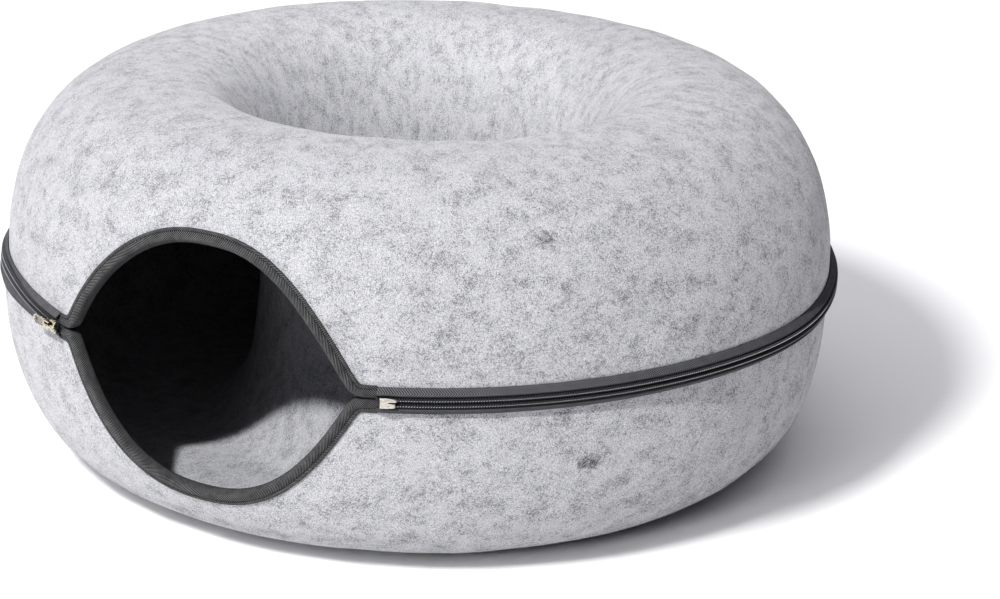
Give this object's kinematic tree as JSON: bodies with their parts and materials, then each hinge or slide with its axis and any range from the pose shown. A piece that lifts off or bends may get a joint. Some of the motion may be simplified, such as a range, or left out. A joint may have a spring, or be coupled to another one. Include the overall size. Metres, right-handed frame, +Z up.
{
  "type": "donut pet bed",
  "caption": "Hollow ring bed of moulded felt for a small pet, with a bound eye-shaped entrance into its tunnel and a zip around the outside that parts its halves.",
  "frame": {"origin": "on the axis of the ring, at the floor under its flat base", "axes": "+Z up out of the hollow in the middle; the entrance faces out between -Y and -X, 29.4 degrees from -Y"},
  "size_m": [0.6038, 0.6057, 0.264],
  "materials": {
    "felt": "moulded needle felt, light grey flecked with dark fibres",
    "binding": "charcoal twill tape",
    "zip_tape": "charcoal woven zip tape",
    "zip_coil": "dark nylon coil",
    "metal": "bright plated zinc, warm silver"
  },
  "bodies": {
    "root": {"felt_upper": "felt", "felt_lower": "felt", "binding_upper": "binding", "binding_lower": "binding", "zip_tape_upper": "zip_tape", "zip_tape_lower": "zip_tape", "zip_coil_upper": "zip_coil", "zip_coil_lower": "zip_coil", "zip_slider": "metal", "zip_pull": "metal", "zip_stop": "metal"}
  },
  "joints": []
}
